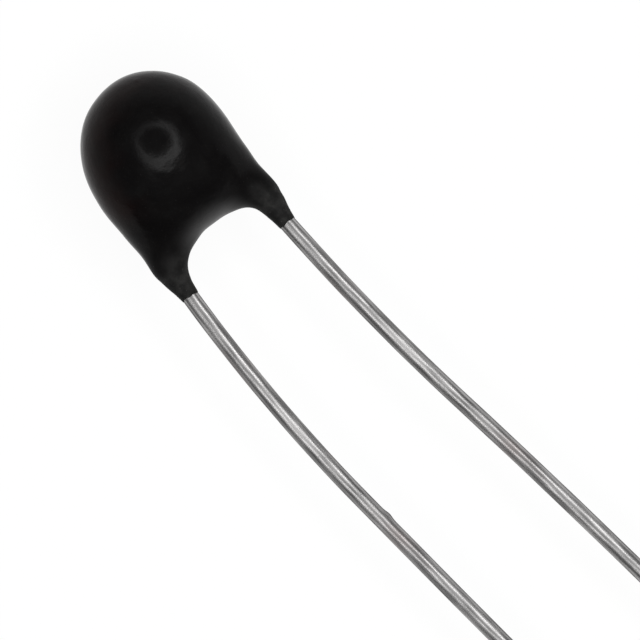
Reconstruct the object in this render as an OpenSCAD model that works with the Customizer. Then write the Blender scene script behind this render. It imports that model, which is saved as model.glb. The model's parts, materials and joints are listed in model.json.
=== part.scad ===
// Dipped bead thermistor with two bare wires, lying on its side.
// Millimetres, Z up. The wires' free ends point along -Y and rest on Z = 0 with the bead.

/* [Wires] */
// Diameter of the tinned wire
wire_d = 0.3; // [0.25:0.01:0.36]
// Distance between the wires where they leave the coat
wire_spacing = 2.1; // [1.9:0.02:2.5]
// Distance from the coat's ends to the wires' cut ends
wire_reach = 26; // [18:1:40]
// Angle by which the left wire leans outwards as it leaves the coat
left_flare = 1.2; // [0.4:0.2:5]
// Length over which the left wire bows inwards
left_bow_length = 4.5; // [3:0.1:6]
// Angle through which the left wire bows inwards
left_bow_angle = 8.3; // [6:0.1:8.8]
// Length over which the left wire then settles into its straight free end
left_settling_length = 8.7; // [5:0.1:10]
// Angle by which the right wire leans outwards as it leaves the coat
right_flare = 4.2; // [0.4:0.2:5]
// Length over which the right wire bows outwards
right_bow_length = 4.2; // [3:0.1:6]
// Angle through which the right wire bows outwards
right_bow_angle = 5.7; // [4.8:0.1:7]
// Length over which the right wire then settles into its straight free end
right_settling_length = 4.7; // [3:0.1:10]
// Radius of the slight bends that make up the bows
slight_bend_r = 8; // [5:1:10]

/* [Coat] */
// Angle between the coat's long axis and the wires' free ends
coat_lean = 8.3; // [8:0.1:9]
// Height of the head's centre above the ends of the coat
head_height = 2.42; // [2.3:0.02:2.7]
// Width of the head across the wires, before the legs blend in
head_width = 2.46; // [2.2:0.02:2.8]
// Length of the head along the coat, before the legs blend in
head_length = 2.68; // [2.5:0.02:3]
// Thickness that the head tends to away from its crown, before the legs blend in
head_thickness = 1.8; // [1.7:0.02:2]
// How much thicker the head is at its crown, as a share
crown_share = 0.35; // [0.25:0.01:0.45]
// Height of the crown above the head's centre
crown_place = 0.6; // [0.4:0.02:0.8]
// Distance over which the crown falls away along the head
crown_spread = 1.6; // [1.4:0.05:2]
// Angle by which the slightly long head is turned towards the right wire
head_turn = 15; // [0:1:30]
// Thickness of the coat where it thins out on the wires
skin = 0.006; // [0.004:0.001:0.03]
// Height over which a leg hugs its wire before it swells into the head
leg_height = 0.57; // [0.4:0.01:0.7]
// Softness of the blend at the ends of the legs
low_blend = 0.38; // [0.3:0.01:0.42]
// Softness of the blend where the legs meet the head
high_blend = 0.71; // [0.6:0.01:0.8]
// Height at which the blend has grown to its full softness
blend_height = 1.53; // [1.3:0.01:1.8]

/* [Chip] */
// Side of the square ceramic chip
chip_size = 1.1; // [0.9:0.05:1.2]
// Thickness of the ceramic chip
chip_thickness = 0.5; // [0.3:0.05:0.6]
// Distance from the head's centre down to the chip's centre
chip_drop = 0.06; // [0:0.02:0.12]
// Thickness of the fired silver on each face of the chip
electrode_thickness = 0.03; // [0.02:0.01:0.05]

/* [Joints] */
// Distance across the chip between the two soldered wires
wire_stagger = 0.24; // [0.1:0.02:0.4]
// Gap between the chip's lower edge and the foot of the soldered run
edge_gap = 0.06; // [0.04:0.01:0.12]
// Gap between the chip's upper edge and the wire's end
tip_gap = 0.22; // [0.16:0.02:0.3]
// Bend radius of the wire inside the coat, at its middle
inner_bend_r = 0.5; // [0.4:0.02:0.55]
// Angle of the two bends that bring a wire to its face of the chip
inner_bend_angle = 55; // [52:1:60]
// Radius of the bow by which a wire straightens inside its leg
straightening_r = 5.5; // [4:0.5:6]
// Thickness of the solder between a wire and its electrode
solder_film = 0.02; // [0.01:0.01:0.04]
// Width of a solder joint on its electrode
solder_width = 0.72; // [0.6:0.02:0.74]
// Height of a solder joint above its electrode
solder_height = 0.26; // [0.2:0.01:0.28]
// Width of a solder joint's crest
solder_crest = 0.34; // [0.32:0.01:0.4]
// Distance that the solder stays back from the chip's lower and upper edges
solder_margin = 0.1; // [0.06:0.01:0.14]

/* [Hidden] */
LEFT = -1;
RIGHT = 1;
wire_r = wire_d / 2;
$fn = 48;

// Mesh of the coat: sections fanned about the arch, and points round each section
fan_steps = 72;
ring_steps = 40;
search_steps = 17;
farthest = 2.4;
// How late a section's middle drifts from the wire to the head
drift_power = 4;

// Slight bends in a wire's bow, and in the gentler bow after it
bow_bends = 4;
settling_bends = 2;
// Coarse places in a millimetre
coarse_places = 100;
// Turn below which a bow is left straight
least_turn = 0.01;
// Turns a bend's round section, so that its seam lies off the bend's own plane
seam_angle = 50;

// Places inside the coat, measured from the ends of its legs
chip_y = head_height - chip_drop;
chip_bottom = chip_y - chip_size / 2;
face_z = chip_thickness / 2 + electrode_thickness;
run_z = face_z + solder_film + wire_r;
run_start = chip_bottom - edge_gap;
run_length = chip_size + edge_gap - tip_gap;
solder_length = chip_size - 2 * solder_margin;

// The coat's skin is where depth() is zero; it is negative inside
function turned(p, a) = [p.x * cos(a) - p.y * sin(a), p.x * sin(a) + p.y * cos(a), p.z];
function crown(y) = 1 + crown_share * exp(-pow((y - crown_place) / crown_spread, 2));
function head_depth(p) =
    let (q = turned(p - [0, head_height, 0], head_turn), thickness = head_thickness * crown(q.y))
    (norm([2 * q.x / head_width, 2 * q.y / head_length, 2 * q.z / thickness]) - 1) * head_width / 2;
function leg_depth(p, side) =
    norm([p.x - side * wire_spacing / 2, max(0, p.y - leg_height), p.z]) - wire_r - skin;
function eased(t) = t * t * (3 - 2 * t);
function softness(y) =
    low_blend + (high_blend - low_blend) * eased(min(1, max(0, y / blend_height)));
function depth(p) =
    let (k = softness(p.y))
    -k * ln(exp(-head_depth(p) / k) + exp(-leg_depth(p, LEFT) / k) + exp(-leg_depth(p, RIGHT) / k));

// Distance from a point inside the coat to its skin along a direction, by halving
function reach(from, along, low = 0, high = farthest, steps = search_steps) =
    let (middle = (low + high) / 2)
    steps == 0 ? middle
    : depth(from + along * middle) < 0 ? reach(from, along, middle, high, steps - 1)
    : reach(from, along, low, middle, steps - 1);

// A section stands in the fan at angle a from the coat's axis; its middle drifts from the wire to the head
function fan_direction(a) = [sin(a), cos(a), 0];
function section_middle(a) =
    wire_spacing / 2 + (head_height - wire_spacing / 2) * pow(cos(a), drift_power);
function section(a) =
    let (out = fan_direction(a), middle = out * section_middle(a))
    [for (j = [0 : ring_steps - 1])
        let (b = 360 * j / ring_steps, along = out * cos(b) + [0, 0, sin(b)])
        middle + along * reach(middle, along)];

module coat_skin() {
    points = [for (i = [0 : fan_steps]) each section(180 * i / fan_steps - 90)];
    sides = [for (i = [0 : fan_steps - 1], j = [0 : ring_steps - 1])
        let (
            a = i * ring_steps + j,
            b = i * ring_steps + (j + 1) % ring_steps,
            c = b + ring_steps,
            d = a + ring_steps
        )
        each [[a, c, b], [a, d, c]]];
    first_cap = [for (j = [0 : ring_steps - 1]) j];
    last_cap = [for (j = [ring_steps - 1 : -1 : 0]) fan_steps * ring_steps + j];
    polyhedron(points = points, faces = concat(sides, [first_cap, last_cap]), convexity = 6);
}

// A wire is a chain of steps, and each next step starts in the frame of the last one's end.
// A step is [STRAIGHT, length] along +Y, [ARC, radius, turn] towards +X, or [ROLL, angle] about itself.
STRAIGHT = 0;
ARC = 1;
ROLL = 2;

// Moves in a coarse and a fine step, so that chained pieces meet to the last printed digit
module moved(v) {
    coarse = [for (x = v) round(x * coarse_places) / coarse_places];
    translate(coarse) translate(v - coarse) children();
}

module wire_run(steps, i = 0) {
    if (i < len(steps)) {
        kind = steps[i][0];
        size = steps[i][1];
        if (kind == STRAIGHT) {
            rotate([-90, 0, 0]) cylinder(r = wire_r, h = size);
            translate([0, size, 0]) wire_run(steps, i + 1);
        } else if (kind == ROLL) {
            rotate([0, size, 0]) wire_run(steps, i + 1);
        } else {
            turn = steps[i][2];
            side = sign(turn);
            translate([side * size, 0, 0])
                rotate_extrude(angle = abs(turn), start = turn > 0 ? 180 - turn : 0)
                    translate([size, 0]) rotate(seam_angle) circle(r = wire_r);
            moved([side * size * (1 - cos(turn)), size * sin(abs(turn)), 0])
                rotate([0, 0, -turn]) wire_run(steps, i + 1);
        }
    }
}

// Sideways and forward travel of a flat chain that starts at heading h
function step_travel(step, h) =
    step[0] == STRAIGHT ? step[1] * [sin(h), cos(h)]
    : sign(step[2]) * step[1] * [cos(h) - cos(h + step[2]), sin(h + step[2]) - sin(h)];
function travel(steps, h, i = 0) =
    i == len(steps) ? [0, 0]
    : step_travel(steps[i], h) + travel(steps, steps[i][0] == ARC ? h + steps[i][2] : h, i + 1);

// A bow of a given length and turn, as evenly spaced slight bends
function bow(length, turn, bends) =
    let (spare = length / bends - slight_bend_r * abs(turn / bends) * PI / 180)
    abs(turn) < least_turn
    ? [[STRAIGHT, length]]
    : [for (i = [1 : bends])
        each [[STRAIGHT, spare / 2], [ARC, slight_bend_r, turn / bends], [STRAIGHT, spare / 2]]];

// Outside the coat, headings are measured outwards from the free ends' own direction
function flare(side) = side == LEFT ? left_flare : right_flare;
function exit_heading(side) = flare(side) - side * coat_lean;
function bows(side) =
    side == LEFT
    ? concat(
        bow(left_bow_length, -left_bow_angle, bow_bends),
        bow(left_settling_length, left_bow_angle - exit_heading(LEFT), settling_bends)
    )
    : concat(
        bow(right_bow_length, right_bow_angle, bow_bends),
        bow(right_settling_length, -right_bow_angle - exit_heading(RIGHT), settling_bends)
    );
function exit_drop(side) = side * wire_spacing / 2 * sin(coat_lean);
function free_length(side) =
    wire_reach - exit_drop(side) - travel(bows(side), exit_heading(side)).y;
function free_x(side) =
    side * (wire_spacing / 2 * cos(coat_lean) + travel(bows(side), exit_heading(side)).x);

// Inside the coat, a wire straightens, rises, crosses over to its face and runs along it
function straightening(side) =
    travel([[ARC, straightening_r, flare(side)]], -flare(side));
function inward(side) = wire_spacing / 2 + straightening(side).x - wire_stagger / 2;
function crossing(side) = norm([inward(side), run_z]);
function crossing_slope(side) =
    (crossing(side) - 2 * inner_bend_r * (1 - cos(inner_bend_angle))) / sin(inner_bend_angle);
function crossing_height(side) =
    2 * inner_bend_r * sin(inner_bend_angle) + crossing_slope(side) * cos(inner_bend_angle);
function rise(side) = run_start - crossing_height(side) - straightening(side).y;

module lead_in_place(side) {
    roll = atan2(side * run_z, -inward(side));
    mirror([side == LEFT ? 1 : 0, 0, 0])
        translate([wire_spacing / 2, 0, 0]) {
            rotate([0, 0, 180 + flare(side)])
                mirror([1, 0, 0])
                    wire_run(concat(bows(side), [[STRAIGHT, free_length(side)]]));
            rotate([0, 0, flare(side)])
                wire_run([
                    [ARC, straightening_r, flare(side)],
                    [STRAIGHT, rise(side)],
                    [ROLL, roll],
                    [ARC, inner_bend_r, inner_bend_angle],
                    [STRAIGHT, crossing_slope(side)],
                    [ARC, inner_bend_r, -inner_bend_angle],
                    [STRAIGHT, run_length]
                ]);
        }
}

module chip_in_place() {
    translate([-chip_size / 2, chip_bottom, -chip_thickness / 2])
        cube([chip_size, chip_size, chip_thickness]);
}

// side LEFT is the front face, where the left wire lies, and RIGHT is the back face
module electrode_in_place(side) {
    translate([-chip_size / 2, chip_bottom, side == LEFT ? chip_thickness / 2 : -face_z])
        cube([chip_size, chip_size, electrode_thickness]);
}

// Section across a joint, with hollow flanks that run out flat on the electrode
module solder_section() {
    foot = solder_width / 2;
    crest = solder_crest / 2;
    flank_r = (pow(foot - crest, 2) + pow(solder_height, 2)) / (2 * solder_height);
    difference() {
        polygon([[-foot, 0], [foot, 0], [crest, solder_height], [-crest, solder_height]]);
        for (side = [LEFT, RIGHT])
            translate([side * foot, flank_r]) circle(r = flank_r);
    }
}

module solder_body_in_place(side) {
    round_r = solder_width / 2;
    rotate([0, side == LEFT ? 0 : 180, 0])
        translate([-wire_stagger / 2, chip_bottom + solder_margin, face_z])
            intersection() {
                translate([0, solder_length, 0]) rotate([90, 0, 0])
                    linear_extrude(solder_length) solder_section();
                union() {
                    for (y = [round_r, solder_length - round_r])
                        translate([0, y, -wire_r]) cylinder(r = round_r, h = wire_d * 2);
                    translate([-round_r, round_r, -wire_r])
                        cube([solder_width, solder_length - 2 * round_r, wire_d * 2]);
                }
            }
}

module solder_joint_in_place(side) {
    difference() {
        solder_body_in_place(side);
        lead_in_place(side);
    }
}

// Everything that the coat is moulded round, as one body
module core_in_place() {
    chip_in_place();
    for (side = [LEFT, RIGHT]) {
        electrode_in_place(side);
        solder_body_in_place(side);
        lead_in_place(side);
    }
}

module coat_in_place() {
    difference() {
        coat_skin();
        core_in_place();
    }
}

// Rest: the coat's axis leans to +X from the free ends, and the whole tips until the wire tips touch down
head_x = head_height * sin(coat_lean);
head_y = head_height * cos(coat_lean);
head_middle = [0, head_height, 0];
head_rise = reach(head_middle, [0, 0, 1]);
head_right = head_x + reach(head_middle, [cos(coat_lean), sin(coat_lean), 0]);
head_top = head_y + reach(head_middle, [-sin(coat_lean), cos(coat_lean), 0]);
rest_tilt = atan((head_rise - wire_r) / (wire_reach + head_y));
rest_height = wire_reach * sin(rest_tilt) + wire_r * cos(rest_tilt);
middle_x = (head_right + free_x(LEFT) - wire_r) / 2;
middle_y = (head_top - wire_reach) / 2 * cos(rest_tilt);

module at_rest() {
    translate([-middle_x, -middle_y, rest_height])
        rotate([rest_tilt, 0, 0])
            rotate([0, 0, -coat_lean])
                children();
}

module coating() { color([0.07, 0.065, 0.06]) at_rest() coat_in_place(); }
module thermistor_chip() { color([0.22, 0.21, 0.2]) at_rest() chip_in_place(); }
module front_electrode() { color([0.78, 0.77, 0.74]) at_rest() electrode_in_place(LEFT); }
module back_electrode() { color([0.78, 0.77, 0.74]) at_rest() electrode_in_place(RIGHT); }
module front_solder_joint() { color([0.66, 0.67, 0.68]) at_rest() solder_joint_in_place(LEFT); }
module back_solder_joint() { color([0.66, 0.67, 0.68]) at_rest() solder_joint_in_place(RIGHT); }
module left_lead() { color([0.72, 0.72, 0.71]) at_rest() lead_in_place(LEFT); }
module right_lead() { color([0.72, 0.72, 0.71]) at_rest() lead_in_place(RIGHT); }

coating();
thermistor_chip();
front_electrode();
back_electrode();
front_solder_joint();
back_solder_joint();
left_lead();
right_lead();
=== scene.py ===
"""Dipped bead thermistor with bare tinned wires, seen from straight above on a white table.

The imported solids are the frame. The coat and the two wires are built again here with a finer
skin and stand for their solids, and the chip, its silver and its solder keep theirs.
"""

from __future__ import annotations

import json
import logging
import math
from abc import ABC, abstractmethod
from dataclasses import dataclass, field
from enum import Enum
from typing import Any, Callable

import bpy
import numpy as np
from mathutils import Matrix, Vector, noise

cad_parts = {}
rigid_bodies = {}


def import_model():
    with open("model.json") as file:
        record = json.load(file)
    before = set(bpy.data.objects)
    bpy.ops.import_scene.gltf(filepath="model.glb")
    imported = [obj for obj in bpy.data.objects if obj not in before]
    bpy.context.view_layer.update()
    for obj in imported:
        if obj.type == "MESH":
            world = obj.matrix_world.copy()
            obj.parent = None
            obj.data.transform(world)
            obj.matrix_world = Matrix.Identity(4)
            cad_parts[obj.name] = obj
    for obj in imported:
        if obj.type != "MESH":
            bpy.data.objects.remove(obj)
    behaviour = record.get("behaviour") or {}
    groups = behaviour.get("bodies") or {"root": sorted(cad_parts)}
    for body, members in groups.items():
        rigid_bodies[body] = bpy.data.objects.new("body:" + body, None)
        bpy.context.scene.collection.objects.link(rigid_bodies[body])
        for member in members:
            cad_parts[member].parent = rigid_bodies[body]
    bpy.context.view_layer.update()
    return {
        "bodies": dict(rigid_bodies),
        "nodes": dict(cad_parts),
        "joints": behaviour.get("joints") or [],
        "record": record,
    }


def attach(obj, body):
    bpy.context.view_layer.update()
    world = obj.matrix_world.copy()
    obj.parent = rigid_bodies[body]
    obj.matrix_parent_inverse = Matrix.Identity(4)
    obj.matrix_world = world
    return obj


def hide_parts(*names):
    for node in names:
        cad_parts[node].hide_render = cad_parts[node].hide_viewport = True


Colour = tuple[float, float, float]
Span = tuple[float, float]
Polygon = tuple[int, ...]
Array = np.ndarray
Key = int | str
Socket = bpy.types.NodeSocket

LOG = logging.getLogger("thermistor")
MM = 0.001
ROOT_BODY = "root"
CARRIED = "own_axes_mm"


class Side(Enum):
    """Which of the two wires a thing belongs to, with the sign of its place across the part."""

    LEFT = -1
    RIGHT = 1

    @property
    def lead_node(self) -> str:
        """Name of the solid wire on this side."""
        return f"{self.name.lower()}_lead"


class Face(Enum):
    """The chip's two silvered faces."""

    FRONT = "front"
    BACK = "back"


@dataclass(frozen=True)
class SharedSizes:
    """Sizes that the coat and both wires share, in millimetres and degrees."""

    wire_radius: float = 0.15
    wire_spacing: float = 2.1
    wire_reach: float = 26.0
    coat_lean: float = 8.3

    @property
    def half_spacing(self) -> float:
        """Distance from the coat's middle to a wire."""
        return self.wire_spacing / 2


# Shader maths


@dataclass(frozen=True)
class Value:
    """A shader socket that carries a number and takes part in Python expressions."""

    graph: ShaderGraph
    socket: Socket

    def _with(self, operation: str, *terms: Term) -> Value:
        """Add one Math node on these terms."""
        return self.graph.node("ShaderNodeMath", dict(enumerate(terms)), operation=operation).value()

    def __add__(self, other: Term) -> Value:
        """Sum."""
        return self._with("ADD", self, other)

    def __sub__(self, other: Term) -> Value:
        """Difference."""
        return self._with("SUBTRACT", self, other)

    def __rsub__(self, other: Term) -> Value:
        """Difference, with a plain number first."""
        return self._with("SUBTRACT", other, self)

    def __mul__(self, other: Term) -> Value:
        """Product."""
        return self._with("MULTIPLY", self, other)

    __radd__ = __add__
    __rmul__ = __mul__

    def clamped(self) -> Value:
        """Keep the number between 0 and 1."""
        return self.graph.node("ShaderNodeClamp", {0: self}).value()


Term = Value | float


@dataclass(frozen=True)
class Grain:
    """A layer of smooth noise: how fine it is, its finer layers, and how much it shrinks along Z."""

    scale: float
    detail: float
    rough: float = 0.5
    along: float = 1.0


@dataclass(frozen=True)
class PlacedNode:
    """A node that has been set and linked, ready to give its outputs."""

    graph: ShaderGraph
    node: bpy.types.Node

    def value(self, output: Key = 0) -> Value:
        """Give an output as a number for expressions."""
        return Value(self.graph, self.node.outputs[output])

    def out(self, output: Key = 0) -> Socket:
        """Give an output as a plain socket, for colours, vectors and shaders."""
        return self.node.outputs[output]


class ShaderGraph:
    """Builds one node tree, a node at a time."""

    def __init__(self, tree: bpy.types.NodeTree) -> None:
        """Empty the tree that is to be filled."""
        self.tree = tree
        tree.nodes.clear()

    def node(self, kind: str, inputs: dict[Key, Any] | None = None, **settings: Any) -> PlacedNode:
        """Add any node.

        Args:
            kind: The node's type.
            inputs: What its sockets get, by index or name: a number, colour, socket or Value.
            settings: Its properties, set before the sockets.

        Returns:
            The node, ready to give its outputs.
        """
        made = self.tree.nodes.new(kind)
        for name, setting in settings.items():
            setattr(made, name, setting)
        for key, given in (inputs or {}).items():
            socket = given.socket if isinstance(given, Value) else given
            if isinstance(socket, Socket):
                self.tree.links.new(socket, made.inputs[key])
            else:
                made.inputs[key].default_value = socket
        return PlacedNode(self, made)

    def rise(self, value: Term, span: Span) -> Value:
        """Rise smoothly from 0 to 1 while the value crosses the span."""
        inputs = {"Value": value, "From Min": span[0], "From Max": span[1]}
        return self.node("ShaderNodeMapRange", inputs, interpolation_type="SMOOTHSTEP").value()

    def noise(self, vector: Socket, grain: Grain) -> Value:
        """Sample smooth noise between 0 and 1.

        Args:
            vector: Where to sample it.
            grain: What the noise is like.

        Returns:
            The noise.
        """
        place = self.stretched(vector, (1, 1, grain.along))
        inputs = {"Vector": place, "Scale": grain.scale, "Detail": grain.detail, "Roughness": grain.rough}
        return self.node("ShaderNodeTexNoise", inputs).value("Fac")

    def apart(self, vector: Socket, point: tuple[float, float] = (0.0, 0.0)) -> Value:
        """Measure how far a vector lies from a point, seen along Z."""
        inputs = {0: self.stretched(vector, (1, 1, 0)), 1: (*point, 0.0)}
        return self.node("ShaderNodeVectorMath", inputs, operation="DISTANCE").value("Value")

    def stretched(self, vector: Socket, scale: tuple[float, ...]) -> Socket:
        """Multiply a vector by another one, part by part."""
        return self.node("ShaderNodeVectorMath", {0: vector, 1: scale}, operation="MULTIPLY").out()

    def mixed(self, share: Term, first: Colour | Socket, second: Colour | Socket) -> Socket:
        """Mix two colours, with this share of the second."""
        ends = [(*end, 1.0) if isinstance(end, tuple) else end for end in (first, second)]
        return self.node("ShaderNodeMix", {0: share, 6: ends[0], 7: ends[1]}, data_type="RGBA").out(2)

    def bumped(self, height: Value, height_mm: float, strength: float = 1.0) -> Socket:
        """Turn a height between 0 and 1 into a surface normal, where 1 stands for height_mm."""
        inputs = {"Strength": strength, "Distance": height_mm * MM, "Height": height}
        return self.node("ShaderNodeBump", inputs).out()

    def attribute(self, name: str) -> Socket:
        """Give a vector that the mesh carries."""
        return self.node("ShaderNodeAttribute", attribute_name=name).out("Vector")


# Finishes


def even_grey(level: float) -> tuple[float, float, float, float]:
    """Give an opaque grey."""
    return (level, level, level, 1.0)


@dataclass(frozen=True)
class Finish(ABC):
    """One surface finish. A finish of its own kind says how its sockets are fed."""

    name: str

    def material(self) -> bpy.types.Material:
        """Build the material.

        Returns:
            The new material.
        """
        made = bpy.data.materials.new(self.name)
        made.use_nodes = True
        graph = ShaderGraph(made.node_tree)
        surface = graph.node("ShaderNodeBsdfPrincipled", self.sockets(graph))
        graph.node("ShaderNodeOutputMaterial", {"Surface": surface.out()})
        return made

    @abstractmethod
    def sockets(self, graph: ShaderGraph) -> dict[Key, Any]:
        """Feed the surface's sockets.

        Args:
            graph: The graph to add nodes to.

        Returns:
            A value, colour or link for each socket by name.
        """


@dataclass(frozen=True)
class DippedEpoxy(Finish):
    """Black dip coat: a deep black head with a warm, duller rim, dull grey legs and a glossy arch.

    Places on the coat are in its own axes, in millimetres: Y runs up from its two ends.
    """

    name: str = "dipped_epoxy"
    black: Colour = (0.0027, 0.0024, 0.0025)
    warm: Colour = (0.0056, 0.0023, 0.002)
    haze: Colour = (0.009, 0.0088, 0.0086)
    leg_dark: Colour = (0.0075, 0.0074, 0.0073)
    leg_pale: Colour = (0.0205, 0.0201, 0.0196)
    gloss_level: float = 0.054
    roughness: float = 0.21
    roughness_swing: float = 0.1
    patch_grain: Grain = Grain(1.4, 3.0)
    patch_swing: float = 0.9
    haze_grain: Grain = Grain(2.6, 4.0, 0.6)
    haze_span: Span = (0.4, 0.7)
    haze_share: float = 0.2
    leg_grain: Grain = Grain(5.0, 4.0, 0.6)
    streaks_span: Span = (0.35, 0.7)
    peel_grain: Grain = Grain(4.5, 3.0, 0.5)
    fine_grain: Grain = Grain(22.0, 3.0, 0.55)
    fine_share: float = 0.1
    peel_mm: float = 0.0075
    warm_middle: tuple[float, float] = (0.35, 2.2)
    warm_span: Span = (0.95, 1.6)
    warm_heights: Span = (1.4, 2.0)
    grey_heights: Span = (0.42, 0.88)
    dull_heights: Span = (0.6, 1.25)
    edge_swing: float = 0.7
    leg_dullness: float = 0.36
    head_middle: tuple[float, float] = (0.05, 2.42)
    rim_inner: Span = (0.55, 0.9)
    rim_outer: Span = (1.02, 1.25)
    rim_heights: Span = (1.5, 2.2)
    rim_dullness: float = 0.2
    rim_swing: float = 0.3
    pool_edge: Span = (0.9, 1.18)
    pool_heights: Span = (0.58, 0.95)
    pool_index: float = 1.25
    pool_roughness: float = 0.3

    def sockets(self, graph: ShaderGraph) -> dict[Key, Any]:
        """Tint and dull the head's rim, grey and dull the legs, and gloss the arch between them.

        Args:
            graph: The graph to add nodes to.

        Returns:
            A value, colour or link for each socket by name.
        """
        place = graph.attribute(CARRIED)
        height = graph.node("ShaderNodeSeparateXYZ", {0: place}).value("Y")
        patches = graph.noise(place, self.patch_grain) - 0.5
        edge = height + self.edge_swing * patches
        grey = 1 - graph.rise(edge, self.grey_heights)
        dull = 1 - graph.rise(edge, self.dull_heights)
        out = graph.apart(place, self.head_middle) + self.rim_swing * patches
        rim = graph.rise(out, self.rim_inner) - graph.rise(out, self.rim_outer)
        rim = rim * graph.rise(height, self.rim_heights)
        dulled = dull * self.leg_dullness + rim * self.rim_dullness
        peel = graph.noise(place, self.peel_grain)
        relief = peel * (1 - self.fine_share) + graph.noise(place, self.fine_grain) * self.fine_share
        near_arch = 1 - graph.rise(graph.apart(place), self.pool_edge)
        head = self.head(graph, place, height, patches)
        return {
            "Base Color": graph.mixed(grey, head, self.legs(graph, place)),
            "Roughness": self.roughness + dulled + self.roughness_swing * (peel - 0.5),
            "Specular IOR Level": self.gloss_level,
            "Coat Weight": near_arch * graph.rise(height, self.pool_heights),
            "Coat IOR": self.pool_index,
            "Coat Roughness": self.pool_roughness,
            "Normal": graph.bumped(relief, self.peel_mm),
        }

    def head(self, graph: ShaderGraph, place: Socket, height: Value, patches: Value) -> Socket:
        """Colour the head: black, a warm tint towards its rim, and a faint haze.

        Args:
            graph: The graph to add nodes to.
            place: The place on the coat.
            height: Its height above the coat's ends.
            patches: Uneven patches, about 0.

        Returns:
            The colour.
        """
        out = graph.apart(place, self.warm_middle) + self.patch_swing * patches
        warmth = graph.rise(out, self.warm_span) * graph.rise(height, self.warm_heights)
        haze = graph.rise(graph.noise(place, self.haze_grain), self.haze_span)
        head = graph.mixed(warmth, self.black, self.warm)
        return graph.mixed(haze * self.haze_share, head, self.haze)

    def legs(self, graph: ShaderGraph, place: Socket) -> Socket:
        """Colour the legs, in two greys."""
        streaks = graph.rise(graph.noise(place, self.leg_grain), self.streaks_span)
        return graph.mixed(streaks, self.leg_dark, self.leg_pale)


@dataclass(frozen=True)
class TinnedCopper(Finish):
    """Drawn copper wire with a thin tin coat: lengthwise streaks, bare copper on the cut, and painted shade
    at its edges.
    """

    name: str = "tinned_copper"
    shared: SharedSizes = SharedSizes()
    tin_mm: float = 0.012
    cut_edge_mm: float = 0.003
    bright: Colour = (0.46, 0.452, 0.45)
    dull: Colour = (0.19, 0.187, 0.1865)
    rosy: Colour = (0.35, 0.283, 0.27)
    copper: Colour = (0.75, 0.36, 0.22)
    roughness: float = 0.39
    roughness_swing: float = 0.14
    long_streaks: Grain = Grain(15.0, 1.0, 0.5, 0.045)
    short_streaks: Grain = Grain(21.0, 1.0, 0.5, 0.1)
    mottle: Grain = Grain(4.0, 2.0, 0.5, 0.3)
    shade_shares: tuple[float, float, float] = (0.45, 0.3, 0.25)
    shade_span: Span = (0.38, 0.62)
    thin_places: Grain = Grain(2.5, 1.0, 0.5, 0.25)
    thin_span: Span = (0.5, 0.7)
    rosy_share: float = 0.35
    groove_shares: tuple[float, float] = (0.65, 0.35)
    groove_mm: float = 0.0022
    # Specular tint far below tin's own: painted shade that dims the wires' edges, standing in for a shadowed
    # table seen in them
    grazing_painted_shade: float = 0.25

    def sockets(self, graph: ShaderGraph) -> dict[Key, Any]:
        """Run the streaks along the wire, and show copper faintly where the tin is thin.

        Args:
            graph: The graph to add nodes to.

        Returns:
            A value, colour or link for each socket by name.
        """
        unrolled = graph.attribute(CARRIED)
        long_streaks = graph.noise(unrolled, self.long_streaks)
        short_streaks = graph.noise(unrolled, self.short_streaks)
        mottle = graph.noise(unrolled, self.mottle)
        long_share, short_share, mottle_share = self.shade_shares
        streaks = long_streaks * long_share + short_streaks * short_share + mottle * mottle_share
        tin = graph.mixed(graph.rise(streaks, self.shade_span), self.dull, self.bright)
        thin = graph.rise(graph.noise(unrolled, self.thin_places), self.thin_span)
        tin = graph.mixed(thin * self.rosy_share, tin, self.rosy)
        core = self.shared.wire_radius - self.tin_mm
        edge = (core - self.cut_edge_mm, core + self.cut_edge_mm)
        bare = 1 - graph.rise(graph.apart(unrolled), edge)
        long_share, short_share = self.groove_shares
        grooves = long_streaks * long_share + short_streaks * short_share
        return {
            "Base Color": graph.mixed(bare, tin, self.copper),
            "Metallic": 1.0,
            # Painted shade: the dark specular tint dims the wires' reflections towards their edges
            "Specular Tint": even_grey(self.grazing_painted_shade),
            "Roughness": self.roughness + self.roughness_swing * (mottle - 0.5),
            "Normal": graph.bumped(grooves, self.groove_mm),
        }


@dataclass(frozen=True)
class GrainedFinish(Finish):
    """A sintered, fired or soldered surface with one grain and two shades."""

    light: Colour
    dark: Colour
    grain: float
    roughness: float
    metallic: float = 1.0
    grain_detail: float = 4.0
    grain_rough: float = 0.65
    cloud_size: float = 0.15
    cloud_detail: float = 3.0
    shade_span: Span = (0.35, 0.65)
    roughness_swing: float = 0.15
    grain_mm: float = 0.002
    grain_strength: float = 0.7

    def sockets(self, graph: ShaderGraph) -> dict[Key, Any]:
        """Vary the shade, roughness and height with the grain.

        Args:
            graph: The graph to add nodes to.

        Returns:
            A value, colour or link for each socket by name.
        """
        place = graph.stretched(graph.node("ShaderNodeTexCoord").out("Object"), (1 / MM,) * 3)
        grain = graph.noise(place, Grain(self.grain, self.grain_detail, self.grain_rough))
        cloud = graph.noise(place, Grain(self.grain * self.cloud_size, self.cloud_detail))
        shade = graph.rise(grain * 0.5 + cloud * 0.5, self.shade_span)
        return {
            "Base Color": graph.mixed(shade, self.dark, self.light),
            "Metallic": self.metallic,
            "Roughness": self.roughness + self.roughness_swing * (grain - 0.5),
            "Normal": graph.bumped(grain, self.grain_mm, self.grain_strength),
        }


def oxide_ceramic() -> GrainedFinish:
    """Sintered metal oxide of the chip."""
    light, dark = (0.06, 0.057, 0.053), (0.03, 0.028, 0.026)
    return GrainedFinish("oxide_ceramic", light, dark, grain=26.0, roughness=0.75, metallic=0.0)


def fired_silver() -> GrainedFinish:
    """Fired silver paste on the chip's faces."""
    light, dark = (0.86, 0.85, 0.82), (0.66, 0.64, 0.6)
    return GrainedFinish("fired_silver", light, dark, grain=34.0, roughness=0.48)


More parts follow.
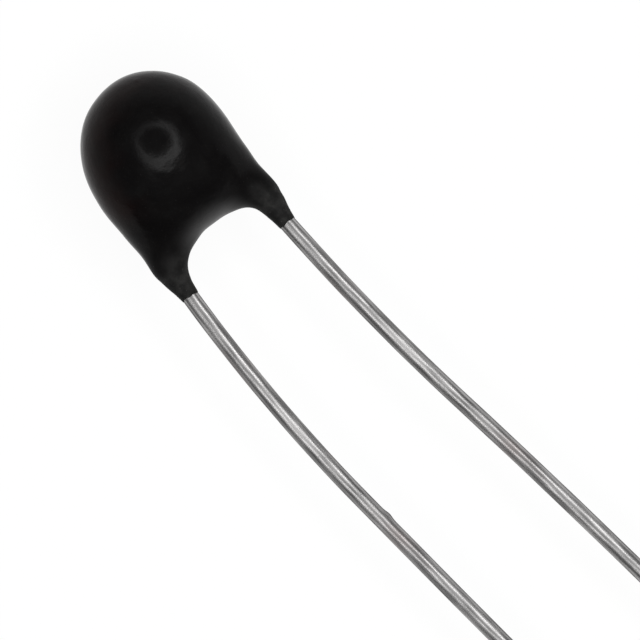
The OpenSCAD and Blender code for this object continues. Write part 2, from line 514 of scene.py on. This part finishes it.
def tin_solder() -> GrainedFinish:
    """Reflowed tin solder round the wires."""
    light, dark = (0.72, 0.73, 0.74), (0.52, 0.53, 0.54)
    return GrainedFinish("tin_solder", light, dark, grain=9.0, roughness=0.3)


# Meshes


def turn_about(axis: str, degrees: float) -> Matrix:
    """Give a turn about one axis, in degrees."""
    return Matrix.Rotation(math.radians(degrees), 4, axis)


def linked(name: str, data: bpy.types.ID) -> bpy.types.Object:
    """Add an object to the scene.

    Args:
        name: Its name.
        data: Its mesh or camera data.

    Returns:
        The object.
    """
    made = bpy.data.objects.new(name, data)
    bpy.context.scene.collection.objects.link(made)
    return made


def mesh_piece(
    name: str,
    points_mm: Array,
    faces: list[Polygon],
    placement: Matrix,
    finish: Finish,
    carried: Array,
) -> bpy.types.Object:
    """Make one smooth piece that rides on the part.

    Args:
        name: The piece's name.
        points_mm: Its points in the part's own axes, in millimetres.
        faces: Its faces, as point numbers.
        placement: Where the part's own axes lie, in millimetres.
        finish: Its surface finish.
        carried: A vector for each point that the finish reads.

    Returns:
        The piece.
    """
    to_world = np.array(placement)
    world = (points_mm @ to_world[:3, :3].T + to_world[:3, 3]) * MM
    mesh = bpy.data.meshes.new(name)
    mesh.from_pydata(world.tolist(), [], [list(face) for face in faces])
    mesh.update()
    layer = mesh.attributes.new(CARRIED, "FLOAT_VECTOR", "POINT")
    layer.data.foreach_set("vector", carried.astype(np.float32).ravel())
    mesh.materials.append(finish.material())
    piece = linked(name, mesh)
    mesh.shade_smooth()
    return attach(piece, ROOT_BODY)


def ring_faces(
    first: int, second: int, around: int, flip: bool = False, pointed: bool = False
) -> list[Polygon]:
    """List the faces from one ring of points to another one or to a middle point.

    Args:
        first: The first ring's first point.
        second: The second ring's first point, or the middle point.
        around: Points on a ring.
        flip: Whether the faces turn the other way.
        pointed: Whether the second is a middle point.

    Returns:
        The faces.
    """
    faces = []
    for j in range(around):
        k = (j + 1) % around
        face = (first + j, first + k, *((second,) if pointed else (second + k, second + j)))
        faces.append(face[::-1] if flip else face)
    return faces


def tube_faces(rings: int, around: int, start: int = 0) -> list[Polygon]:
    """List the side faces between rings of points that follow one another.

    Args:
        rings: Number of rings.
        around: Points on each ring.
        start: The first ring's first point.

    Returns:
        The faces, facing outwards where the rings turn clockwise seen from the last one.
    """
    faces = []
    for first in range(start, start + (rings - 1) * around, around):
        faces += ring_faces(first, first + around, around, flip=True)
    return faces


# The coat


@dataclass(frozen=True)
class Swell:
    """A place where the coat's skin stands a little proud, or low where the height is negative."""

    fan_angle: float
    ring_angle: float
    height_mm: float
    radius_mm: float


@dataclass(frozen=True)
class DipCoat:
    """The dip coat: a round head that runs out into a tapered leg on each wire. In millimetres."""

    finish: Finish = field(default_factory=DippedEpoxy)
    shared: SharedSizes = SharedSizes()
    head_height: float = 2.42
    head_width: float = 2.46
    head_length: float = 2.68
    head_thickness: float = 1.8
    crown_share: float = 0.35
    crown_place: float = 0.6
    crown_spread: float = 1.6
    head_turn: float = 15.0
    skin: float = 0.006
    leg_height: float = 0.57
    low_blend: float = 0.38
    high_blend: float = 0.71
    blend_height: float = 1.53
    farthest: float = 2.4
    halvings: int = 30
    fan_steps: int = 288
    ring_steps: int = 144
    drift_power: int = 4
    unevenness: float = 0.005
    unevenness_size: float = 0.55
    finer_share: float = 0.35
    finer_by: float = 2.7
    ragged: float = 0.018
    ragged_waves: tuple[tuple[float, int, int], ...] = ((0.55, 2, 1), (0.45, 5, 2))
    ragged_reach: float = 0.16
    short_of_ends: float = 0.034
    lip: float = 0.004
    fullness: float = 0.007
    end_thinning: float = 0.014
    thin_reach: float = 0.3
    # On the head's face, then a nib near its top, then the outline, its outer and its arch side
    swells: tuple[Swell, ...] = (
        Swell(6.0, 84.0, 0.024, 0.5),
        Swell(0.7, 139.6, -0.03, 0.45),
        Swell(-13.0, 78.0, -0.016, 0.36),
        Swell(7.3, 24.0, 0.012, 0.035),
        Swell(50.5, 0.0, 0.03, 0.25),
        Swell(-32.3, 180.0, 0.024, 0.26),
        Swell(31.9, 180.0, 0.015, 0.2),
        Swell(-71.8, 0.0, 0.016, 0.15),
        Swell(-34.5, 0.0, 0.021, 0.32),
        Swell(30.1, 0.0, -0.008, 0.35),
        Swell(-2.3, 0.0, -0.014, 0.4),
        Swell(41.5, 0.0, 0.023, 0.32),
        Swell(71.8, 0.0, 0.015, 0.1),
        Swell(-71.0, 180.0, -0.015, 0.2),
        Swell(22.0, 0.0, 0.016, 0.3),
        Swell(50.9, 180.0, -0.025, 0.18),
        Swell(-12.6, 180.0, -0.014, 0.16),
    )

    def outside_head(self, x: Array, y: Array, z: Array) -> Array:
        """Measure how far places lie outside the head's own skin.

        Args:
            x: Places across the coat.
            y: Heights above its ends.
            z: Places through it.

        Returns:
            The distances, negative inside.
        """
        turn = math.radians(self.head_turn)
        dy = y - self.head_height
        across = x * math.cos(turn) - dy * math.sin(turn)
        along = x * math.sin(turn) + dy * math.cos(turn)
        crown = 1 + self.crown_share * np.exp(-(((along - self.crown_place) / self.crown_spread) ** 2))
        parts = (across / self.head_width, along / self.head_length, z / (self.head_thickness * crown))
        return (2 * np.sqrt(sum(part**2 for part in parts)) - 1) * self.head_width / 2

    def outside_leg(self, x: Array, y: Array, z: Array, side: Side) -> Array:
        """Measure how far places lie outside one leg's own skin.

        Args:
            x: Places across the coat.
            y: Heights above its ends.
            z: Places through it.
            side: Which leg.

        Returns:
            The distances, negative inside.
        """
        dx = x - side.value * self.shared.half_spacing
        dy = np.maximum(0, y - self.leg_height)
        return np.sqrt(dx**2 + dy**2 + z**2) - self.shared.wire_radius - self.skin

    def outside(self, points: Array) -> Array:
        """Blend the head and the legs.

        Args:
            points: Places in the coat's own axes, one a row.

        Returns:
            How far each place lies outside the skin, negative inside.
        """
        x, y, z = points[..., 0], points[..., 1], points[..., 2]
        share = np.clip(y / self.blend_height, 0, 1)
        k = self.low_blend + (self.high_blend - self.low_blend) * share * share * (3 - 2 * share)
        total = np.exp(-self.outside_head(x, y, z) / k)
        for side in Side:
            total = total + np.exp(-self.outside_leg(x, y, z, side) / k)
        return -k * np.log(total)

    def reach(self, start: Array, along: Array) -> Array:
        """Measure from places inside the coat to its skin, by halving.

        Args:
            start: Places inside the coat.
            along: A direction for each place.

        Returns:
            The distances.
        """
        low = np.zeros(start.shape[:-1])
        high = np.full(start.shape[:-1], self.farthest)
        for _ in range(self.halvings):
            middle = (low + high) / 2
            inside = self.outside(start + along * middle[..., None]) < 0
            low = np.where(inside, middle, low)
            high = np.where(inside, high, middle)
        return (low + high) / 2

    def skin_points(self) -> Array:
        """Fan the sections about the arch between the legs.

        Returns:
            The skin's points, as sections by points round each section by three.
        """
        fan = np.radians(np.linspace(-90, 90, self.fan_steps + 1))
        ring = np.radians(np.arange(self.ring_steps) * 360 / self.ring_steps)
        out = np.stack([np.sin(fan), np.cos(fan), np.zeros_like(fan)], axis=-1)
        drift = (self.head_height - self.shared.half_spacing) * np.cos(fan) ** self.drift_power
        middle = out * (self.shared.half_spacing + drift)[:, None]
        along = out[:, None, :] * np.cos(ring)[None, :, None]
        along[..., 2] += np.sin(ring)[None, :]
        start = np.broadcast_to(middle[:, None, :], along.shape)
        distance = self.reach(start, along)
        points = start + along * distance[..., None]
        return points + along * self.lift(points, fan, ring)[..., None]

    def lift(self, points: Array, fan: Array, ring: Array) -> Array:
        """Give how far the skin stands proud or low: slow waves, swells and thinner ends.

        Args:
            points: The even skin's points.
            fan: Angle of each section.
            ring: Angle of each point round its section.

        Returns:
            The lift of each point.
        """
        places = [Vector(place) for place in points.reshape(-1, 3) / self.unevenness_size]
        waves = np.array([self.wave(p) + self.finer_share * self.wave(p * self.finer_by) for p in places])
        ends = np.clip(1 - points[..., 1] / self.thin_reach, 0, 1)
        lift = self.unevenness * waves.reshape(points.shape[:-1])
        lift += self.fullness * (1 - ends) - self.end_thinning * ends
        for swell in self.swells:
            i = int(np.argmin(np.abs(np.degrees(fan) - swell.fan_angle)))
            j = int(np.argmin(np.abs(np.degrees(ring) - swell.ring_angle)))
            gap = np.linalg.norm(points - points[i, j], axis=-1)
            lift += swell.height_mm * np.exp(-((gap / swell.radius_mm) ** 2))
        return lift

    @staticmethod
    def wave(place: Vector) -> float:
        """Sample noise whose second slopes run on evenly, so that its cells leave no line."""
        return noise.noise(place, noise_basis="PERLIN_NEW")

    def ragged_ends(self, points: Array) -> Array:
        """Let the coat's two ends thin out a little short of the solid's, and unevenly.

        Args:
            points: The skin's points.

        Returns:
            The points with their ends moved along the wires.
        """
        points = points.copy()
        for side in Side:
            near = points[..., 0] * side.value > 0
            around = np.arctan2(points[..., 2], points[..., 0] - side.value * self.shared.half_spacing)
            waves = [share * np.cos(n * around + phase * side.value) for share, n, phase in self.ragged_waves]
            shift = self.ragged * sum(waves) - self.short_of_ends
            fade = np.clip(1 - points[..., 1] / self.ragged_reach, 0, 1) ** 2
            points[..., 1] -= np.where(near, shift * fade, 0)
        return points

    def build(self, placement: Matrix) -> bpy.types.Object:
        """Build the coat's skin in place of its solid.

        Args:
            placement: Where the coat's own axes lie.

        Returns:
            The piece.
        """
        points = self.ragged_ends(self.skin_points())
        rings, around = points.shape[:2]
        faces = tube_faces(rings, around)
        flat = points.reshape(-1, 3)
        ends = []
        for ring, side in ((0, Side.LEFT), (rings - 1, Side.RIGHT)):
            rim = points[ring]
            axis = np.array([side.value * self.shared.half_spacing, 0.0, 0.0])
            outward = rim - axis
            outward[:, 1] = 0
            outward /= np.linalg.norm(outward, axis=1)[:, None]
            lip = axis + outward * (self.shared.wire_radius - self.lip)
            lip[:, 1] = rim[:, 1] - self.lip
            first = len(flat) + sum(len(end) for end in ends)
            faces += ring_faces(ring * around, first, around, flip=side is Side.RIGHT)
            ends.append(lip)
        every = np.vstack([flat, *ends])
        piece = mesh_piece("dip_coat", every, faces, placement, self.finish, every)
        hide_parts("coating")
        return piece


# The wires


class Route:
    """A centre line walked step by step from a starting frame, heading along its +Y."""

    def __init__(self, start: Matrix, pitch: float) -> None:
        """Stand at the start.

        Args:
            start: The first frame, in millimetres.
            pitch: How close the points are, at least.
        """
        self.frame = start.copy()
        self.points = [start.translation.copy()]
        self.pitch = pitch

    def _walk(self, count: int, step: Callable[[float], Matrix]) -> Route:
        """Add points along one step, and stop at its end.

        Args:
            count: Number of points.
            step: Gives the frame a share of the way along, seen from the step's start.

        Returns:
            The route itself.
        """
        start = self.frame.copy()
        for i in range(1, count + 1):
            self.frame = start @ step(i / count)
            self.points.append(self.frame.translation.copy())
        return self

    def straight(self, length: float) -> Route:
        """Walk straight on."""
        count = max(1, math.ceil(length / self.pitch))
        return self._walk(count, lambda share: Matrix.Translation((0, length * share, 0)))

    def bend(self, radius: float, turn: float) -> Route:
        """Walk along an arc.

        Args:
            radius: Its radius.
            turn: Degrees towards +X, or away from it where negative.

        Returns:
            The route itself.
        """
        side = math.copysign(1.0, turn)
        count = max(2, math.ceil(radius * abs(math.radians(turn)) / self.pitch))

        def step(share: float) -> Matrix:
            """Place the frame.

            Args:
                share: How far round it is, from 0 to 1.

            Returns:
                The frame, seen from the arc's start.
            """
            angle = math.radians(abs(turn) * share)
            place = (side * radius * (1 - math.cos(angle)), radius * math.sin(angle), 0)
            return Matrix.Translation(place) @ turn_about("Z", -turn * share)

        return self._walk(count, step)

    def bow(self, length: float, turn: float) -> Route:
        """Walk along an even bow of this length and turn."""
        return self.bend(length / abs(math.radians(turn)), turn)

    def roll(self, degrees: float) -> Route:
        """Turn about the heading."""
        self.frame = self.frame @ turn_about("Y", degrees)
        return self


@dataclass(frozen=True)
class Blob:
    """A thick place in the tin, at a distance along the wire and an angle round it."""

    along_mm: float
    around: float
    height_mm: float
    length_mm: float
    width: float = 40.0
    cut_off: float = 3.0

    def lift(self, along: float, around: float) -> float:
        """Give how proud the tin stands.

        Args:
            along: Distance along the wire.
            around: Angle round it.

        Returns:
            The height.
        """
        turn = (math.degrees(around) - self.around + 180) % 360 - 180
        length = (along - self.along_mm) / self.length_mm
        if abs(length) >= self.cut_off:
            return 0.0
        return self.height_mm * math.exp(-(length**2) - (turn / self.width) ** 2)


@dataclass(frozen=True)
class Lead:
    """One bare tinned wire, from its soldered end in the coat to its cut end. In millimetres."""

    side: Side
    flare: float
    bow_length: float
    bow_angle: float
    settling_length: float
    blobs: tuple[Blob, ...] = ()
    finish: Finish = field(default_factory=TinnedCopper)
    shared: SharedSizes = SharedSizes()
    wire_stagger: float = 0.24
    straightening_radius: float = 5.5
    inner_bend_radius: float = 0.5
    inner_bend_angle: float = 55.0
    run_depth: float = 0.45
    run_start: float = 1.75
    run_length: float = 0.94
    fine_pitch: float = 0.03
    coarse_pitch: float = 0.16
    seen_length: float = 12.0
    least_seen: float = 0.1
    around_steps: int = 48
    tin_waves: float = 0.0032
    tin_low: float = 0.15
    tin_around: float = 1.8
    tin_along: float = 1.1
    tin_apart: float = 14.0
    cut_round: float = 0.014
    cut_middle: float = 0.5

    def outer_route(self) -> Route:
        """Walk from the coat's end to the cut end, on the right side.

        Returns:
            The route, in the coat's axes.
        """
        leave = Matrix.Translation((self.shared.half_spacing, 0, 0)) @ turn_about("Z", 180 + self.flare)
        route = Route(leave @ Matrix.Diagonal((-1, 1, 1, 1)), self.fine_pitch)
        exit_heading = self.flare - self.side.value * self.shared.coat_lean
        route.bow(self.bow_length, self.bow_angle)
        route.bow(self.settling_length, -self.bow_angle - exit_heading)
        down = self.free_frame() @ route.points[-1]
        left = self.shared.wire_reach + down.y
        seen = max(self.least_seen, self.seen_length + down.y)
        route.straight(seen)
        route.pitch = self.coarse_pitch
        return route.straight(left - seen)

    def free_frame(self) -> Matrix:
        """Turn the coat's axes, seen on the right side, into the free ends' own."""
        return turn_about("Z", -self.side.value * self.shared.coat_lean)

    def inner_route(self) -> Route:
        """Walk from the coat's end up to the soldered end, on the right side.

        Returns:
            The route, in the coat's axes.
        """
        turn = math.radians(self.inner_bend_angle)
        flare = math.radians(self.flare)
        inward = self.shared.half_spacing - self.wire_stagger / 2
        inward -= self.straightening_radius * (1 - math.cos(flare))
        across = math.hypot(inward, self.run_depth)
        slope = (across - 2 * self.inner_bend_radius * (1 - math.cos(turn))) / math.sin(turn)
        height = 2 * self.inner_bend_radius * math.sin(turn) + slope * math.cos(turn)
        rise = self.run_start - height - self.straightening_radius * math.sin(flare)
        roll = math.degrees(math.atan2(self.side.value * self.run_depth, -inward))
        leave = Matrix.Translation((self.shared.half_spacing, 0, 0)) @ turn_about("Z", self.flare)
        route = Route(leave, self.fine_pitch)
        route.bend(self.straightening_radius, self.flare)
        route.straight(rise).roll(roll)
        route.bend(self.inner_bend_radius, self.inner_bend_angle)
        route.straight(slope)
        route.bend(self.inner_bend_radius, -self.inner_bend_angle)
        return route.straight(self.run_length)

    def centre_line(self) -> Array:
        """Join both routes, from the soldered end to the cut end.

        Returns:
            The points, one a row, on the wire's own side.
        """
        inner = self.inner_route().points
        outer = self.outer_route().points
        points = np.array([*reversed(inner), *outer[1:]])
        points[:, 0] *= self.side.value
        return points

    def free_place(self) -> float:
        """Place of the straight free end across the part, in the free ends' own axes."""
        return self.side.value * (self.free_frame() @ self.outer_route().points[-1]).x

    def radius_at(self, along: float, around: float) -> float:
        """Give the wire's radius with its tin.

        Args:
            along: Distance from the coat's end, in millimetres.
            around: Angle round the wire.

        Returns:
            The radius.
        """
        across = Vector((math.cos(around), math.sin(around), 0)) * self.tin_around
        place = across + Vector((0, 0, along * self.tin_along + self.tin_apart * self.side.value))
        radius = self.shared.wire_radius + self.tin_waves * (noise.noise(place) - self.tin_low)
        return radius + sum(blob.lift(along, around) for blob in self.blobs)

    def build(self, placement: Matrix) -> bpy.types.Object:
        """Build the wire in place of its solid.

        Args:
            placement: Where the coat's own axes lie.

        Returns:
            The piece.
        """
        line = self.centre_line()
        steps = np.linalg.norm(np.diff(line, axis=0), axis=1)
        along = np.concatenate([[0], np.cumsum(steps)])
        along -= along[len(self.inner_route().points) - 1]
        tangents = np.gradient(line, axis=0)
        tangents /= np.linalg.norm(tangents, axis=1)[:, None]
        around = self.around_steps
        angles = np.arange(around) * 2 * math.pi / around
        up = np.array([0.0, 0.0, 1.0])
        points, unrolled = [], []
        for place, tangent, distance in zip(line, tangents, along):
            up = up - tangent * (up @ tangent)
            up /= np.linalg.norm(up)
            right = np.cross(tangent, up)
            for angle in angles:
                radius = self.radius_at(distance, angle)
                points.append(place + radius * (math.cos(angle) * right + math.sin(angle) * up))
                unrolled.append((radius * math.cos(angle), radius * math.sin(angle), distance))
        faces = tube_faces(len(line), around)
        for end in (0, len(line) - 1):
            first = end * around
            inward = tangents[end] * (-1 if end else 1)
            centre = line[end]
            rim = np.array(points[first : first + around])
            for share in (1 - self.cut_round / self.shared.wire_radius, self.cut_middle, 0.0):
                start = len(points)
                count = around if share else 1
                for j in range(count):
                    points.append(centre + (rim[j] - centre) * share)
                    cross = np.array(unrolled[first + j][:2]) * share
                    unrolled.append((*cross, along[end]))
                faces += ring_faces(first, start, around, flip=bool(end), pointed=not share)
                first = start
            rounded = np.array(points[end * around : (end + 1) * around]) + inward * self.cut_round
            points[end * around : (end + 1) * around] = list(rounded)
        name = f"{self.side.name.lower()}_tinned_wire"
        piece = mesh_piece(name, np.array(points), faces, placement, self.finish, np.array(unrolled))
        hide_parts(self.side.lead_node)
        return piece


# Where the part lies


@dataclass(frozen=True)
class RestPlace:
    """How the part lies on the table: on the side of its head and on both wire ends."""

    coat: DipCoat
    left: Lead
    shared: SharedSizes = SharedSizes()

    def _head_reach(self, x: float, y: float, z: float) -> float:
        """Distance from the head's middle to the skin in one direction."""
        start = np.array([[0.0, self.coat.head_height, 0.0]])
        return float(self.coat.reach(start, np.array([[x, y, z]]))[0])

    def free_ends(self) -> Matrix:
        """Give the frame of the free ends, whose plane tips until the wire ends touch down.

        Returns:
            The frame, in millimetres.
        """
        lean = math.radians(self.shared.coat_lean)
        sine, cosine = math.sin(lean), math.cos(lean)
        reach, radius = self.shared.wire_reach, self.shared.wire_radius
        head_y = self.coat.head_height * cosine
        tilt = math.atan((self._head_reach(0, 0, 1) - radius) / (reach + head_y))
        right = self.coat.head_height * sine + self._head_reach(cosine, sine, 0)
        top = head_y + self._head_reach(-sine, cosine, 0)
        middle = (
            (right + self.left.free_place() - radius) / 2,
            (top - reach) / 2 * math.cos(tilt),
            -(reach * math.sin(tilt) + radius * math.cos(tilt)),
        )
        return Matrix.Translation(-Vector(middle)) @ turn_about("X", math.degrees(tilt))

    def coat_axes(self) -> Matrix:
        """Give the frame of the coat, whose axis leans away from the free ends."""
        return self.free_ends() @ turn_about("Z", -self.shared.coat_lean)


@dataclass(frozen=True)
class SensingCore:
    """The chip with its silver and its solder, sealed in the coat. Their solids stay."""

    finishes: dict[str, Finish] = field(
        default_factory=lambda: {
            "thermistor_chip": oxide_ceramic(),
            **{f"{face.value}_electrode": fired_silver() for face in Face},
            **{f"{face.value}_solder_joint": tin_solder() for face in Face},
        }
    )

    def dress(self, nodes: dict[str, bpy.types.Object]) -> list[bpy.types.Object]:
        """Give each solid its finish.

        Args:
            nodes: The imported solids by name.

        Returns:
            The dressed solids.
        """
        for name, finish in self.finishes.items():
            nodes[name].material_slots[0].material = finish.material()
        return [nodes[name] for name in self.finishes]


# The studio


@dataclass(frozen=True)
class RingLight:
    """The room's light: a soft bright ring round the camera's line, in a dim surround."""

    inner_angle: float = 27.0
    outer_angle: float = 36.5
    softness: float = 3.0
    ring_strength: float = 6.0
    lopsided: float = 1.25
    brighter_side: float = -30.0
    surround: float = 0.34
    surround_angle: float = 45.0
    horizon: float = 0.03
    horizon_angle: float = 85.0
    tilt_up: float = 2.6
    tilt_right: float = 2.2

    def build(self, view: Matrix) -> None:
        """Paint the world with the ring.

        Args:
            view: The camera's frame.
        """
        world = bpy.data.worlds.new("studio")
        bpy.context.scene.world = world
        world.use_nodes = True
        graph = ShaderGraph(world.node_tree)
        tilted = turn_about("Y", self.tilt_right) @ turn_about("X", -self.tilt_up)
        turned = (view @ tilted).to_3x3()
        side = (turned.to_4x4() @ turn_about("Z", self.brighter_side)).col[0].to_3d()
        place = graph.node("ShaderNodeTexCoord").out("Generated")
        direction = graph.node("ShaderNodeVectorMath", {0: place}, operation="NORMALIZE").out()
        facing = self._along(graph, direction, turned.col[2])
        brighter = self._along(graph, direction, side)
        ring = self._inside(graph, facing, self.outer_angle) - self._inside(graph, facing, self.inner_angle)
        horizon, surround = (math.cos(math.radians(a)) for a in (self.horizon_angle, self.surround_angle))
        glow = self.horizon + (self.surround - self.horizon) * graph.rise(facing, (horizon, surround))
        strength = glow + ring * self.ring_strength * (1 + self.lopsided * brighter)
        light = graph.node("ShaderNodeBackground", {"Color": even_grey(1.0), "Strength": strength})
        graph.node("ShaderNodeOutputWorld", {"Surface": light.out()})

    @staticmethod
    def _along(graph: ShaderGraph, direction: Socket, axis: Vector) -> Value:
        """Measure how far a direction points along an axis."""
        inputs = {0: direction, 1: tuple(axis)}
        return graph.node("ShaderNodeVectorMath", inputs, operation="DOT_PRODUCT").value("Value")

    def _inside(self, graph: ShaderGraph, facing: Value, angle: float) -> Value:
        """Give 1 within an angle of the ring's middle line, with a soft edge."""
        edge = tuple(math.cos(math.radians(angle + soft)) for soft in (self.softness, -self.softness))
        return graph.rise(facing, edge)


@dataclass(frozen=True)
class Table:
    """A white table under the part, which turns up into a low white wall far away."""

    radius: float = 1.6
    wall_height: float = 0.22
    corner: float = 0.1
    corner_steps: int = 10
    around_steps: int = 96
    flat_shares: tuple[float, ...] = (0.01, 0.04, 0.15, 0.5, 1.0)
    drop_mm: float = 0.011
    white: float = 0.9
    whitened: float = 0.94

    def material(self) -> bpy.types.Material:
        """Make the table white to the eye, in metal and in glass, and keep a light shadow on it.

        What shows as white lights nothing, so no light rays are aimed at it.

        Returns:
            The material.
        """
        made = bpy.data.materials.new("white_table")
        made.use_nodes = True
        made.cycles.emission_sampling = "NONE"
        graph = ShaderGraph(made.node_tree)
        rays = graph.node("ShaderNodeLightPath")
        seen = rays.value("Is Camera Ray") + rays.value("Is Glossy Ray") + rays.value("Is Transmission Ray")
        matt = graph.node("ShaderNodeBsdfDiffuse", {"Color": even_grey(self.white)})
        plain = graph.node("ShaderNodeEmission", {"Color": even_grey(1.0), "Strength": 1.0})
        share = seen.clamped() * self.whitened
        both = graph.node("ShaderNodeMixShader", {0: share, 1: matt.out(), 2: plain.out()})
        graph.node("ShaderNodeOutputMaterial", {"Surface": both.out()})
        return made

    def profile(self) -> list[tuple[float, float]]:
        """Give the table's section from near its middle to the top of its wall.

        Returns:
            The section's corners, each a radius and a height.
        """
        flat = [(share * (self.radius - self.corner), 0.0) for share in self.flat_shares]
        angles = (math.pi / 2 * i / self.corner_steps for i in range(1, self.corner_steps + 1))
        bends = [(1 - math.sin(angle), 1 - math.cos(angle)) for angle in angles]
        turn = [(self.radius - self.corner * inward, self.corner * upward) for inward, upward in bends]
        return [*flat, *turn, (self.radius, self.wall_height)]

    def build(self) -> bpy.types.Object:
        """Build the table.

        Returns:
            The table, which isn't part of the object.
        """
        drop = -self.drop_mm * MM
        around = self.around_steps
        profile = self.profile()
        points = [(0.0, 0.0, drop)]
        for radius, height in profile:
            for j in range(around):
                angle = 2 * math.pi * j / around
                points.append((radius * math.cos(angle), radius * math.sin(angle), height + drop))
        faces = [(0, 1 + j, 1 + (j + 1) % around) for j in range(around)]
        faces += tube_faces(len(profile), around, start=1)
        mesh = bpy.data.meshes.new("white_table")
        mesh.from_pydata(points, [], faces)
        mesh.materials.append(self.material())
        mesh.shade_smooth()
        table = linked("white_table", mesh)
        return table


@dataclass(frozen=True)
class PhotoView:
    """The camera straight above the wires' plane, rolled as the photo is. In millimetres."""

    width: float = 11.008
    distance: float = 190.0
    sensor: float = 36.0
    roll: float = 45.6
    middle_x: float = 0.24
    middle_y: float = -1.69
    nearest_m: float = 0.001
    farthest_m: float = 10.0

    def build(self, free_ends: Matrix) -> Matrix:
        """Place the camera.

        Args:
            free_ends: The frame of the wires' free ends.

        Returns:
            The camera's frame.
        """
        data = bpy.data.cameras.new("photo_view")
        data.sensor_width = self.sensor
        data.lens = self.sensor * self.distance / self.width
        data.clip_start = self.nearest_m
        data.clip_end = self.farthest_m
        camera = linked("photo_view", data)
        middle = Matrix.Translation((self.middle_x, self.middle_y, self.distance))
        frame = free_ends @ middle @ turn_about("Z", -self.roll)
        camera.matrix_world = Matrix.Translation(frame.translation * MM) @ frame.to_3x3().to_4x4()
        bpy.context.scene.camera = camera
        return camera.matrix_world.copy()


def main() -> None:
    """Load the frame and build each sub-assembly."""
    logging.basicConfig(level=logging.INFO, format="%(name)s: %(message)s")
    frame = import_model()

    coat = DipCoat()
    blob = Blob(along_mm=5.05, around=180.0, height_mm=0.02, length_mm=0.095)
    left = Lead(Side.LEFT, flare=1.2, bow_length=4.5, bow_angle=-8.3, settling_length=8.7, blobs=(blob,))
    right = Lead(Side.RIGHT, flare=4.2, bow_length=4.2, bow_angle=5.7, settling_length=4.7)
    place = RestPlace(coat, left)

    view = PhotoView().build(place.free_ends())
    RingLight().build(view)
    table = Table().build()
    LOG.info("%s: %d faces", table.name, len(table.data.polygons))

    axes = place.coat_axes()
    for part in (coat, left, right):
        piece = part.build(axes)
        LOG.info("%s: %d faces", piece.name, len(piece.data.polygons))
    for solid in SensingCore().dress(frame["nodes"]):
        LOG.info("%s: dressed", solid.name)

    bpy.context.scene.view_settings.view_transform = "Standard"


if __name__ == "__main__":
    main()
